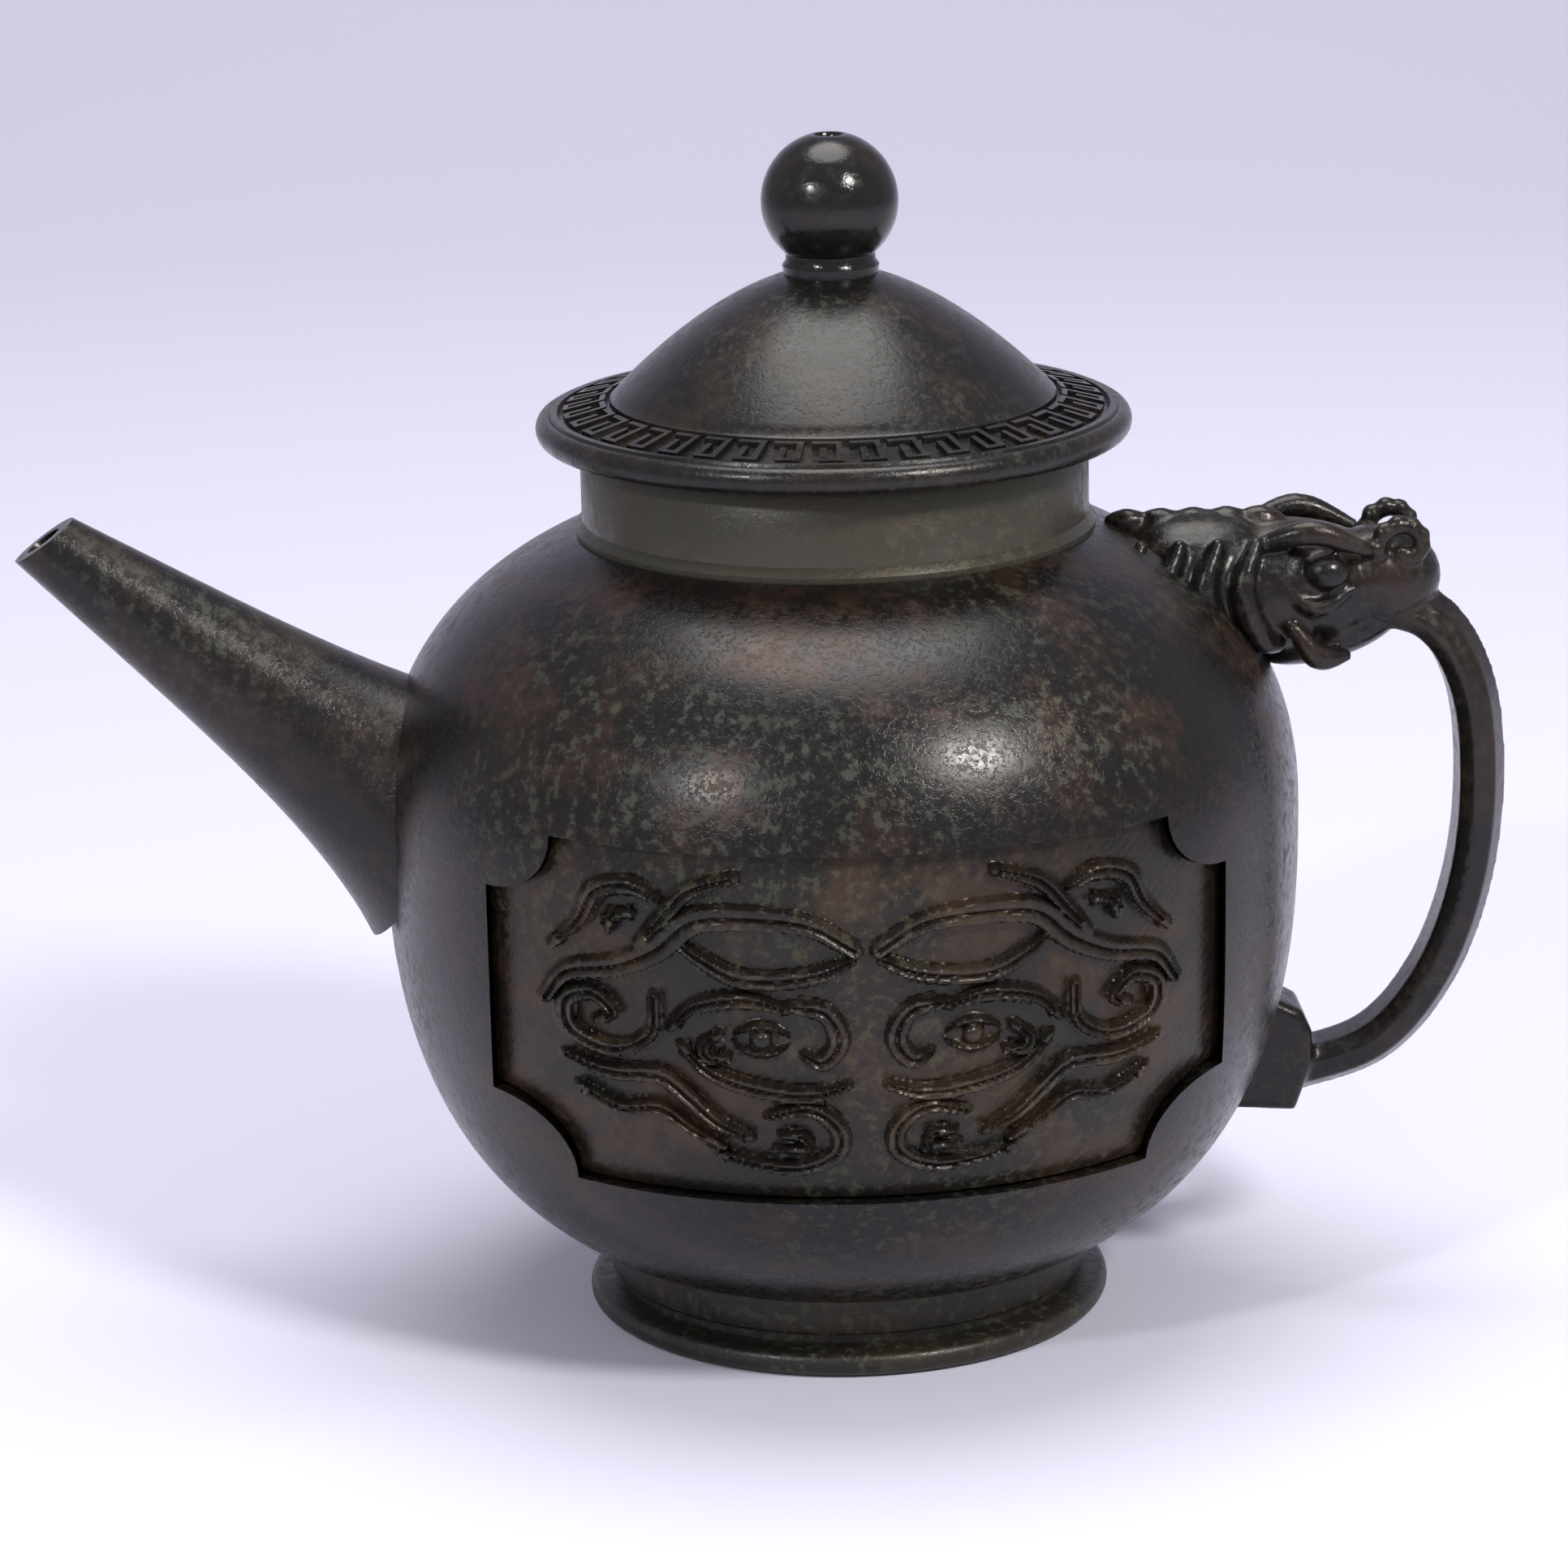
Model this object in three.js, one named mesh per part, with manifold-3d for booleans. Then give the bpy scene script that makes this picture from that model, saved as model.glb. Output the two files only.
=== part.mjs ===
// Cast bronze water dropper in the form of a small lidded teapot.
// Millimetres, +Z up. The body is a solid of revolution; the spout points to -X and the handle to +X.
import * as THREE from 'three';
import { mergeVertices } from 'three/addons/utils/BufferGeometryUtils.js';
import Module from 'manifold-3d';

const wasm = await Module();
wasm.setup();

// Overall reach from the body's axis
const SPOUT_REACH = 65.5;
const HANDLE_REACH = 54.5;
// Fits between neighbouring pieces
const SEAM = 0.3;
const LID_PLAY = 0.5;
// Body
const BODY_RADIUS = 37.4;
const BELLY_Z = 42;
const SHOULDER_Z = 65.5;
const SHOULDER_RADIUS = 21.2;
const BASE_RADIUS = 21.6;
const BODY_WALL = 4.2;
const LOWER_POWER = 2.6;
const UPPER_POWER = 2.33;
// Foot ring
const FOOT_HEIGHT = 6.3;
const FOOT_RADIUS = 21.6;
const FOOT_BAND_RADIUS = 19.9;
const FOOT_GROOVE_RADIUS = 19.1;
const FOOT_BORE = 16.6;
const FOOT_FLANGE = 2.1;
// Neck
const MOUTH_RADIUS = 17.6;
const NECK_WALL = 2.9;
const NECK_HEIGHT = 6.8;
// Lid
const RIM_RADIUS = 24;
const RIM_HEIGHT = 2.5;
const FRET_OUTER = 22.2;
const FRET_INNER = 18;
const FRET_SLOPE = 1;
const FRET_DEPTH = 0.45;
const FRET_LINE = 0.42;
const FRET_UNITS = 40;
const DOME_RISE = 10.4;
const DOME_POWER = 1.77;
const LID_WALL = 1.8;
const LID_FLANGE_DEPTH = 6;
const LID_FLANGE_WALL = 1.6;
// Finial, with the air hole that the thumb closes
const BALL_RADIUS = 5.5;
const BALL_HEIGHT = 5.2;
const WAIST_RADIUS = 3.7;
const TENON_RADIUS = 2.6;
const TENON_LENGTH = 3;
const AIR_HOLE = 1;
// Spout
const SPOUT_TIP_Z = 67.3;
const SPOUT_ROOT_Z = 43;
const SPOUT_TIP_RADIUS = 2.5;
const SPOUT_ROOT_RADIUS = 8;
const SPOUT_FLARE = 1.9;
const SPOUT_TIP_BORE = 1.5;
const SPOUT_ROOT_BORE = 5.2;
const SPOUT_MOUTH_TILT = 55;
// Handle
const LOOP_THICKNESS = 4;
const LOOP_WIDTH = 5.4;
const LOOP_FOOT_Z = 17.6;
const HEAD_WIDTH = 13;
const HEAD_TOP_Z = 66.2;
const HEAD_EDGE = 2.6;
const SNOUT_INSET = 7.4;
const EYE_RADIUS = 2.1;
const EAR_RADIUS = 2.3;
const NOSTRIL_RADIUS = 2.6;
const HOOK_WIDTH = 7;
// Relief panels
const PANEL_HALF_WIDTH = 28.6;
const PANEL_TOP_Z = 47.8;
const PANEL_BOTTOM_Z = 19.5;
const PANEL_SINK = 1.2;
const PANEL_THICKNESS = 1;
const TOP_INDENT = 5;
const BOTTOM_INDENT = 6.5;
const RELIEF_HEIGHT = 0.9;
const RIBBON_WIDTH = 1.9;
const EYE_BOSS = 1.5;
// Facets
const ROUND_STEPS = 40;
const SMALL_STEPS = 18;
const SIDE_STEPS = 12;
const INSIDE_STEPS = 6;
const RIBBON_STEPS = 3;

const PATINA = 0x2a2622;
const bodyBottom = FOOT_HEIGHT + SEAM;
const neckBottom = SHOULDER_Z + SEAM;
const neckTop = neckBottom + NECK_HEIGHT;
const lidBottom = neckTop + SEAM;
const lidTop = lidBottom + RIM_HEIGHT;
const domeFoot = lidTop + FRET_SLOPE;
const domeTop = domeFoot + DOME_RISE;

function solidOf(geometry) {
  geometry.deleteAttribute('normal');
  geometry.deleteAttribute('uv');
  const merged = mergeVertices(geometry, 1e-4);
  const corners = Array.from(merged.index.array);
  const faces = [];
  for (let i = 0; i < corners.length; i += 3) {
    const [a, b, c] = corners.slice(i, i + 3);
    if (a !== b && b !== c && c !== a) faces.push(a, b, c);
  }
  return new wasm.Manifold(new wasm.Mesh({
    numProp: 3,
    vertProperties: Float32Array.from(merged.attributes.position.array),
    triVerts: Uint32Array.from(faces),
  }));
}

function geometryOf(solid) {
  const mesh = solid.getMesh();
  const geometry = new THREE.BufferGeometry();
  geometry.setAttribute('position', new THREE.BufferAttribute(new Float32Array(mesh.vertProperties), 3));
  geometry.setIndex(new THREE.BufferAttribute(new Uint32Array(mesh.triVerts), 1));
  geometry.computeVertexNormals();
  return geometry;
}

function bronzePiece(name, solid, colour, roughness) {
  const material = new THREE.MeshStandardMaterial({ color: colour, roughness, metalness: 0.85 });
  const mesh = new THREE.Mesh(geometryOf(solid), material);
  mesh.name = name;
  return mesh;
}

// A profile of radius and height, given up the outside and down the inside, turned about +Z
function turned(profile, steps = ROUND_STEPS) {
  const points = profile.map(([radius, height]) => new THREE.Vector2(radius, height));
  return solidOf(new THREE.LatheGeometry(points, steps).rotateX(Math.PI / 2));
}

// An outline in X and Z given a thickness along Y, from y = 0 to y = -depth
function frontPrism(shape, depth, curveSteps = 6) {
  const options = { depth, bevelEnabled: false, curveSegments: curveSteps };
  return solidOf(new THREE.ExtrudeGeometry(shape, options).rotateX(Math.PI / 2));
}

// Height of the superellipse that passes through a given end radius
function reachOf(height, endRadius, power) {
  return height / Math.pow(1 - Math.pow(endRadius / BODY_RADIUS, power), 1 / power);
}

function bodyRadius(z) {
  const lower = z < BELLY_Z;
  const power = lower ? LOWER_POWER : UPPER_POWER;
  const reach = lower
    ? reachOf(BELLY_Z - bodyBottom, BASE_RADIUS, power)
    : reachOf(SHOULDER_Z - BELLY_Z, SHOULDER_RADIUS, power);
  const share = Math.min(Math.abs(z - BELLY_Z) / reach, 1);
  return BODY_RADIUS * Math.pow(1 - Math.pow(share, power), 1 / power);
}

// Points of the body's side between two heights, closer together where it turns in
function sideProfile(low, high, steps, grow) {
  return Array.from({ length: steps + 1 }, (unused, i) => {
    const z = (low + high) / 2 - Math.cos(Math.PI * i / steps) * (high - low) / 2;
    return [bodyRadius(z) + grow, z];
  });
}

// The whole space inside the body's outer surface, made larger or smaller all round
function bodyForm(grow) {
  const side = sideProfile(bodyBottom, SHOULDER_Z, SIDE_STEPS, grow);
  return turned([[0, bodyBottom - Math.max(grow, 0)], ...side, [0, SHOULDER_Z + Math.max(grow, 0)]]);
}

function vesselBody() {
  const floor = bodyBottom + BODY_WALL;
  const roof = SHOULDER_Z - BODY_WALL;
  const inside = sideProfile(floor, roof, INSIDE_STEPS, -BODY_WALL).reverse();
  return turned([
    [0, bodyBottom],
    ...sideProfile(bodyBottom, SHOULDER_Z, SIDE_STEPS, 0),
    [MOUTH_RADIUS, SHOULDER_Z],
    [MOUTH_RADIUS, roof],
    ...inside,
    [0, floor],
  ]);
}

// Cartouche with hollow quarter-round corners, wider or narrower by one margin
function panelOutline(margin) {
  const half = PANEL_HALF_WIDTH + margin;
  const top = PANEL_TOP_Z + margin;
  const bottom = PANEL_BOTTOM_Z - margin;
  const shape = new THREE.Shape();
  shape.moveTo(-half + BOTTOM_INDENT, bottom);
  shape.lineTo(half - BOTTOM_INDENT, bottom);
  shape.absarc(half, bottom, BOTTOM_INDENT, Math.PI, Math.PI / 2, true);
  shape.lineTo(half, top - TOP_INDENT);
  shape.absarc(half, top, TOP_INDENT, -Math.PI / 2, -Math.PI, true);
  shape.lineTo(-half + TOP_INDENT, top);
  shape.absarc(-half, top, TOP_INDENT, 0, -Math.PI / 2, true);
  shape.lineTo(-half, bottom + BOTTOM_INDENT);
  shape.absarc(-half, bottom, BOTTOM_INDENT, Math.PI / 2, 0, true);
  return shape;
}

// What lies between two skins sunk below the body's surface
function skinLayer(outerSink, innerSink) {
  return bodyForm(-outerSink).subtract(bodyForm(-innerSink));
}

function panelRecess() {
  const depth = PANEL_SINK + PANEL_THICKNESS + SEAM;
  const prism = frontPrism(panelOutline(SEAM), BODY_RADIUS + 5);
  return prism.subtract(bodyForm(-depth));
}

// A band of even width along a smooth line through a few points, ending in a blunt point
function ribbonShape(points, width) {
  const curve = new THREE.CatmullRomCurve3(points.map(([x, z]) => new THREE.Vector3(x, z, 0)));
  const steps = RIBBON_STEPS * (points.length - 1);
  const left = [];
  const right = [];
  for (let i = 0; i <= steps; i += 1) {
    const centre = curve.getPoint(i / steps);
    const along = curve.getTangent(i / steps);
    const half = (width / 2) * (0.35 + 0.65 * Math.sin(Math.PI * Math.min(i / steps + 0.12, 0.5)));
    const taper = i === steps ? 0.4 : 1;
    left.push(new THREE.Vector2(centre.x - along.y * half * taper, centre.y + along.x * half * taper));
    right.push(new THREE.Vector2(centre.x + along.y * half * taper, centre.y - along.x * half * taper));
  }
  return new THREE.Shape([...right, ...left.reverse()]);
}

// The lines of the dragon that faces the middle from the right, as x and height
const DRAGON_LINES = {
  hornAndBack: [[1.6, 41], [6, 43], [12, 43.2], [15.9, 40], [20.6, 38.3], [24.6, 34.6]],
  cheek: [[2, 34.6], [3.4, 30.4], [8, 29.6], [12.4, 31], [13.8, 34.4], [10.6, 36.4]],
  haunch: [[16.4, 36], [17.2, 32.6], [21, 31.8], [22.4, 34.6], [20, 35.4]],
  leg: [[22.6, 29.6], [18.4, 28.4], [14, 27.4], [10.6, 25.4]],
  tail: [[7.4, 27.4], [3.2, 27], [2.6, 23.8], [6, 22.4], [9.6, 23.4]],
  wing: [[15.6, 45.4], [19.6, 44.4], [21.6, 41.4]],
};
const DRAGON_EYE = [8.2, 33];

function mirrored(points) {
  return points.map(([x, z]) => [-x, z]);
}

function eyeBoss(side) {
  const [x, z] = DRAGON_EYE;
  const shape = new THREE.Shape();
  shape.absarc(side * x, z, EYE_BOSS, 0, 2 * Math.PI, false);
  return shape;
}

function reliefPanel() {
  const reach = BODY_RADIUS + 5;
  const backing = skinLayer(PANEL_SINK, PANEL_SINK + PANEL_THICKNESS);
  let panel = backing.intersect(frontPrism(panelOutline(0), reach));
  const raised = skinLayer(PANEL_SINK - RELIEF_HEIGHT, PANEL_SINK + PANEL_THICKNESS / 2);
  const lines = Object.values(DRAGON_LINES);
  const shapes = lines.map((line) => ribbonShape(line, RIBBON_WIDTH));
  shapes.push(...lines.map((line) => ribbonShape(mirrored(line).reverse(), RIBBON_WIDTH)));
  shapes.push(eyeBoss(1), eyeBoss(-1));
  for (const shape of shapes) {
    panel = panel.add(raised.intersect(frontPrism(shape, reach, 4)));
  }
  return panel;
}

function footRing() {
  const grooveTop = FOOT_FLANGE + 0.9;
  return turned([
    [FOOT_BORE, 0],
    [FOOT_RADIUS - 0.4, 0],
    [FOOT_RADIUS, 0.4],
    [FOOT_RADIUS, FOOT_FLANGE - 0.5],
    [FOOT_RADIUS - 0.9, FOOT_FLANGE],
    [FOOT_GROOVE_RADIUS, FOOT_FLANGE + 0.1],
    [FOOT_GROOVE_RADIUS, grooveTop],
    [FOOT_BAND_RADIUS, grooveTop + 0.3],
    [FOOT_BAND_RADIUS, FOOT_HEIGHT],
    [FOOT_BORE, FOOT_HEIGHT],
    [FOOT_BORE, 0],
  ]);
}

function neckCollar() {
  const outer = MOUTH_RADIUS + NECK_WALL;
  return turned([
    [MOUTH_RADIUS, neckBottom],
    [outer + 0.5, neckBottom],
    [outer + 0.3, neckBottom + 0.6],
    [outer, neckBottom + 0.9],
    [outer, neckTop - 0.4],
    [outer - 0.4, neckTop],
    [MOUTH_RADIUS, neckTop],
    [MOUTH_RADIUS, neckBottom],
  ]);
}

// One unit of the key fret, a hook that turns in on itself, as steps of angle and radius
function fretUnit(index) {
  const pitch = 2 * Math.PI / FRET_UNITS;
  const band = FRET_OUTER - FRET_INNER;
  const line = FRET_LINE / band;
  const [low, high] = [0.1, 0.9];
  const wide = line * 1.6;
  const hook = [
    [0.1, low], [0.9, low], [0.9, high], [0.34, high], [0.34, 0.36], [0.34 + wide, 0.36],
    [0.34 + wide, high - line], [0.9 - wide, high - line], [0.9 - wide, low + line], [0.1, low + line],
  ];
  const shape = new THREE.Shape(hook.map(([across, out]) => {
    const angle = (index + across) * pitch;
    const radius = FRET_INNER + out * band;
    return new THREE.Vector2(Math.cos(angle) * radius, Math.sin(angle) * radius);
  }));
  return solidOf(new THREE.ExtrudeGeometry(shape, { depth: FRET_SLOPE + 2, bevelEnabled: false })
    .translate(0, 0, lidTop - 1));
}

// The sloping band that carries the fret, between two depths below the rim's surface
function fretBand(outerDepth, innerDepth) {
  const slope = (radius) => lidTop + FRET_SLOPE * (FRET_OUTER - radius) / (FRET_OUTER - FRET_INNER);
  const ring = [
    [FRET_INNER, slope(FRET_INNER) - innerDepth],
    [FRET_OUTER, slope(FRET_OUTER) - innerDepth],
    [FRET_OUTER, slope(FRET_OUTER) - outerDepth],
    [FRET_INNER, slope(FRET_INNER) - outerDepth],
  ];
  return turned([...ring, ring[0]]);
}

function domeHeight(radius) {
  return domeTop - DOME_RISE * Math.pow(radius / FRET_INNER, DOME_POWER);
}

function lidDome() {
  const steps = 7;
  const bore = TENON_RADIUS + SEAM;
  const innerRadius = MOUTH_RADIUS - LID_PLAY - LID_FLANGE_WALL;
  const outerDome = Array.from({ length: steps + 1 }, (unused, i) => {
    const radius = FRET_INNER - 0.4 - (FRET_INNER - 0.4 - bore) * i / steps;
    return [radius, domeHeight(radius)];
  });
  const innerDome = Array.from({ length: steps + 1 }, (unused, i) => {
    const radius = bore + (innerRadius - bore) * i / steps;
    return [radius, Math.max(domeHeight(radius) - LID_WALL, lidBottom + 0.8)];
  });
  const lid = turned([
    [innerRadius, lidBottom],
    [RIM_RADIUS - 1, lidBottom],
    [RIM_RADIUS - 0.2, lidBottom + 0.5],
    [RIM_RADIUS, lidBottom + 1],
    [RIM_RADIUS - 0.1, lidTop - 0.9],
    [RIM_RADIUS - 0.7, lidTop - 0.2],
    [FRET_OUTER + 0.5, lidTop],
    [FRET_OUTER, lidTop],
    [FRET_INNER, domeFoot],
    ...outerDome,
    ...innerDome,
    [innerRadius, lidBottom],
  ]);
  const band = fretBand(-0.5, FRET_DEPTH);
  const lines = wasm.Manifold.union(Array.from({ length: FRET_UNITS }, (unused, i) => fretUnit(i)));
  const raised = lines.intersect(fretBand(0, FRET_DEPTH + 0.2));
  return lid.subtract(band).add(raised);
}

// The collar under the lid that drops into the neck and keeps the lid centred
function lidFlange() {
  const outer = MOUTH_RADIUS - LID_PLAY;
  const inner = outer - LID_FLANGE_WALL;
  const top = lidBottom - SEAM;
  const bottom = top - LID_FLANGE_DEPTH;
  return turned([
    [inner, bottom],
    [outer - 0.5, bottom],
    [outer, bottom + 0.5],
    [outer, top],
    [inner, top],
    [inner, bottom],
  ]);
}

function finial() {
  const foot = domeHeight(TENON_RADIUS + SEAM) + SEAM;
  const ballCentre = domeTop + BALL_HEIGHT;
  const start = Math.asin(Math.min((WAIST_RADIUS - 0.1) / BALL_RADIUS, 0.95));
  const end = Math.asin((AIR_HOLE + 0.6) / BALL_RADIUS);
  const ball = Array.from({ length: 10 }, (unused, i) => {
    const angle = start + (Math.PI - end - start) * i / 9;
    return [BALL_RADIUS * Math.sin(angle), ballCentre - BALL_RADIUS * Math.cos(angle)];
  });
  return turned([
    [AIR_HOLE, foot - TENON_LENGTH],
    [TENON_RADIUS, foot - TENON_LENGTH],
    [TENON_RADIUS, foot],
    [WAIST_RADIUS + 0.2, foot],
    [WAIST_RADIUS + 0.2, foot + 0.4],
    [WAIST_RADIUS - 0.1, foot + 0.7],
    ...ball,
    [AIR_HOLE, ball[9][1] - 0.2],
    [AIR_HOLE, foot - TENON_LENGTH],
  ], SMALL_STEPS);
}

const spoutRootX = -(BODY_RADIUS - 4);
const spoutRun = SPOUT_REACH - BODY_RADIUS + 4;
const spoutRise = SPOUT_TIP_Z - SPOUT_ROOT_Z;
const spoutLength = Math.hypot(spoutRun, spoutRise);
const spoutAngle = Math.atan2(spoutRise, spoutRun);

// A form turned about the spout's own sloping axis; height 0 is the root and spoutLength the tip
function aboutSpout(profile) {
  const points = profile.map(([radius, height]) => new THREE.Vector2(radius, height));
  const geometry = new THREE.LatheGeometry(points, SMALL_STEPS).rotateX(Math.PI / 2);
  geometry.rotateY(spoutAngle - Math.PI / 2);
  return solidOf(geometry.translate(spoutRootX, 0, SPOUT_ROOT_Z));
}

function spoutBore(grow) {
  return aboutSpout([
    [0, -8],
    [SPOUT_ROOT_BORE + grow, -8],
    [SPOUT_ROOT_BORE + grow, 0],
    [SPOUT_TIP_BORE + grow, spoutLength - 2],
    [SPOUT_TIP_BORE + grow, spoutLength + 8],
    [0, spoutLength + 8],
  ]);
}

function spout() {
  const steps = 8;
  const side = Array.from({ length: steps + 1 }, (unused, i) => {
    const share = i / steps;
    const cone = SPOUT_ROOT_RADIUS + (SPOUT_TIP_RADIUS - SPOUT_ROOT_RADIUS) * share;
    return [cone + SPOUT_FLARE * Math.pow(1 - share, 4), spoutLength * share];
  });
  const [rootRadius] = side[0];
  const tipEnd = spoutLength + 3;
  const cone = aboutSpout([
    [0, -4], [rootRadius + 0.6, -4], ...side, [SPOUT_TIP_RADIUS, tipEnd], [0, tipEnd],
  ]);
  const trimSize = 30;
  const trim = new THREE.BoxGeometry(trimSize, trimSize, trimSize).translate(0, 0, trimSize / 2);
  trim.rotateY(-THREE.MathUtils.degToRad(90 - SPOUT_MOUTH_TILT));
  const lipCentre = -SPOUT_REACH + SPOUT_TIP_RADIUS;
  trim.translate(lipCentre, 0, SPOUT_TIP_Z - 0.6);
  return cone.subtract(spoutBore(0)).subtract(solidOf(trim)).subtract(bodyForm(SEAM + 0.1));
}

// The trunk's centre line, from under the brow round to the hook on the lower body
function loopCurve() {
  const outer = HANDLE_REACH - LOOP_THICKNESS / 2;
  const start = new THREE.Vector3(outer - 11.5, 0, HEAD_TOP_Z - 7.6);
  const tail = new THREE.Vector3(bodyRadius(LOOP_FOOT_Z) + 3.2, 0, LOOP_FOOT_Z);
  return new THREE.CatmullRomCurve3([
    start,
    new THREE.Vector3(outer - 4.6, 0, HEAD_TOP_Z - 9.4),
    new THREE.Vector3(outer - 1, 0, HEAD_TOP_Z - 15),
    new THREE.Vector3(outer, 0, BELLY_Z + 1),
    new THREE.Vector3(outer - 0.9, 0, BELLY_Z - 8),
    new THREE.Vector3(outer - 3.8, 0, BELLY_Z - 16),
    new THREE.Vector3(outer - 8.8, 0, LOOP_FOOT_Z + 2.6),
    tail,
  ]);
}

// Ridged section of the trunk: a keel outside, flat flanks and a flat inside
function trunkSection() {
  const [half, side] = [LOOP_THICKNESS / 2, LOOP_WIDTH / 2];
  const shape = new THREE.Shape();
  shape.moveTo(-half, -side * 0.7);
  shape.lineTo(-half * 0.5, -side);
  shape.lineTo(half * 0.5, -side * 0.8);
  shape.lineTo(half, 0);
  shape.lineTo(half * 0.5, side * 0.8);
  shape.lineTo(-half * 0.5, side);
  shape.lineTo(-half, side * 0.7);
  return shape;
}

function trunkLoop() {
  const options = { steps: 22, extrudePath: loopCurve(), bevelEnabled: false };
  return solidOf(new THREE.ExtrudeGeometry(trunkSection(), options));
}

// An outline in X and Z, with rounded edges, centred on the handle's plane
function rounded(shape, width, edge) {
  const geometry = new THREE.ExtrudeGeometry(shape, {
    depth: width - 2 * edge,
    bevelEnabled: true,
    bevelThickness: edge,
    bevelSize: edge,
    bevelOffset: -edge,
    bevelSegments: 2,
    curveSegments: 4,
  });
  return solidOf(geometry.translate(0, 0, edge - width / 2).rotateX(Math.PI / 2));
}

function headOutline() {
  const snout = HANDLE_REACH - SNOUT_INSET;
  const shape = new THREE.Shape();
  shape.moveTo(SHOULDER_RADIUS + 3.4, HEAD_TOP_Z);
  shape.lineTo(snout - 11, HEAD_TOP_Z);
  shape.quadraticCurveTo(snout - 6, HEAD_TOP_Z - 0.2, snout - 4, HEAD_TOP_Z - 1.6);
  shape.quadraticCurveTo(snout + 1, HEAD_TOP_Z - 4, snout + 0.6, HEAD_TOP_Z - 8);
  shape.lineTo(snout - 1.6, HEAD_TOP_Z - 11.4);
  shape.lineTo(snout - 5, HEAD_TOP_Z - 11.2);
  shape.lineTo(snout - 9, HEAD_TOP_Z - 14.2);
  shape.lineTo(SHOULDER_RADIUS + 3.4, HEAD_TOP_Z - 14.2);
  return shape;
}

function ball(radius, x, y, z) {
  return solidOf(new THREE.SphereGeometry(radius, 12, 8).translate(x, y, z));
}

function handleHook() {
  const inner = bodyRadius(LOOP_FOOT_Z) - 2;
  const outer = bodyRadius(LOOP_FOOT_Z) + 6;
  const shape = new THREE.Shape();
  shape.moveTo(inner, LOOP_FOOT_Z - 2);
  shape.lineTo(outer - 1.4, LOOP_FOOT_Z - 2.4);
  shape.lineTo(outer, LOOP_FOOT_Z + 1.6);
  shape.lineTo(outer, LOOP_FOOT_Z + 4.4);
  shape.quadraticCurveTo(outer - 0.6, LOOP_FOOT_Z + 7.4, outer - 3.6, LOOP_FOOT_Z + 7.6);
  shape.lineTo(inner, LOOP_FOOT_Z + 7.6);
  return rounded(shape, HOOK_WIDTH, 0.9);
}

function handle() {
  const snout = HANDLE_REACH - SNOUT_INSET;
  let form = trunkLoop().add(rounded(headOutline(), HEAD_WIDTH, HEAD_EDGE)).add(handleHook());
  for (const side of [-1, 1]) {
    const flank = side * HEAD_WIDTH / 2;
    form = form
      .add(ball(EYE_RADIUS, snout - 7, flank * 0.86, HEAD_TOP_Z - 4.8))
      .add(ball(EAR_RADIUS, snout - 10.4, flank * 0.9, HEAD_TOP_Z - 8.4))
      .add(ball(EAR_RADIUS, snout - 9, flank * 0.86, HEAD_TOP_Z - 11.6))
      .add(ball(NOSTRIL_RADIUS, snout - 2.4, flank * 0.6, HEAD_TOP_Z - 3));
  }
  return form.subtract(bodyForm(SEAM + 0.1));
}

function halfTurn(solid) {
  return solid.rotate([0, 0, 180]);
}

const recess = panelRecess();
const panel = reliefPanel();
const body = vesselBody().subtract(recess).subtract(halfTurn(recess)).subtract(spoutBore(0));

const dropper = new THREE.Group();
dropper.add(
  bronzePiece('vessel_body', body, PATINA, 0.4),
  bronzePiece('foot_ring', footRing(), 0x34312a, 0.5),
  bronzePiece('neck_collar', neckCollar(), 0x57533c, 0.45),
  bronzePiece('spout', spout(), 0x302c28, 0.4),
  bronzePiece('handle', handle(), 0x25211e, 0.35),
  bronzePiece('relief_panel_front', panel, 0x2c241c, 0.45),
  bronzePiece('relief_panel_rear', halfTurn(panel), 0x2c241c, 0.45),
  bronzePiece('lid_dome', lidDome(), 0x38342e, 0.4),
  bronzePiece('lid_flange', lidFlange(), 0x4a4232, 0.5),
  bronzePiece('finial', finial(), 0x1c1917, 0.25),
);

// The whole stands with the middle of its length over the origin
const extent = new THREE.Box3().setFromObject(dropper);
dropper.position.x = -(extent.min.x + extent.max.x) / 2;

export default dropper;
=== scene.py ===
import math

import bmesh
import bpy
import numpy as np
from mathutils import Matrix, Quaternion, Vector


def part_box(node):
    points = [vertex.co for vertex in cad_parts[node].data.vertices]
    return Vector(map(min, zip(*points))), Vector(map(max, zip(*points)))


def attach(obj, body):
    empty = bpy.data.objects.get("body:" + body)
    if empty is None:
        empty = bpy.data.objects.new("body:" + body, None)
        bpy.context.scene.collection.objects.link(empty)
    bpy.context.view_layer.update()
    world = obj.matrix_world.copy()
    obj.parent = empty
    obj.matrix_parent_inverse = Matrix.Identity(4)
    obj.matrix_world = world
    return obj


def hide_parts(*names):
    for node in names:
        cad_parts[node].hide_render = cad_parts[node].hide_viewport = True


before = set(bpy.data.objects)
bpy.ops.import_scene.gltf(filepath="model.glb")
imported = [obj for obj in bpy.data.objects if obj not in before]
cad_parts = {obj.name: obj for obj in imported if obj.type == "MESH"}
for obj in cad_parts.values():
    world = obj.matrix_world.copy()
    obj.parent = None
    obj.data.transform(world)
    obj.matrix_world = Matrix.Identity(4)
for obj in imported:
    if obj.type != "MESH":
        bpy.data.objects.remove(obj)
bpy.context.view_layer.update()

# Camera: a long lens a little above the desk, turned slightly to the spout's side of the
# front panel, as a small bronze is photographed for a catalogue.
neck_low, neck_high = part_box("neck_collar")
axis_x = (neck_low.x + neck_high.x) / 2
camera_azimuth = math.radians(-2.8)
camera_elevation = math.radians(16.94)
camera_roll = math.radians(1.2)
camera_distance = 0.469
looked_at_height = 0.031
aim_height = 0.0438
aim_left = 0.0046
focal_length = 130.4

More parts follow.
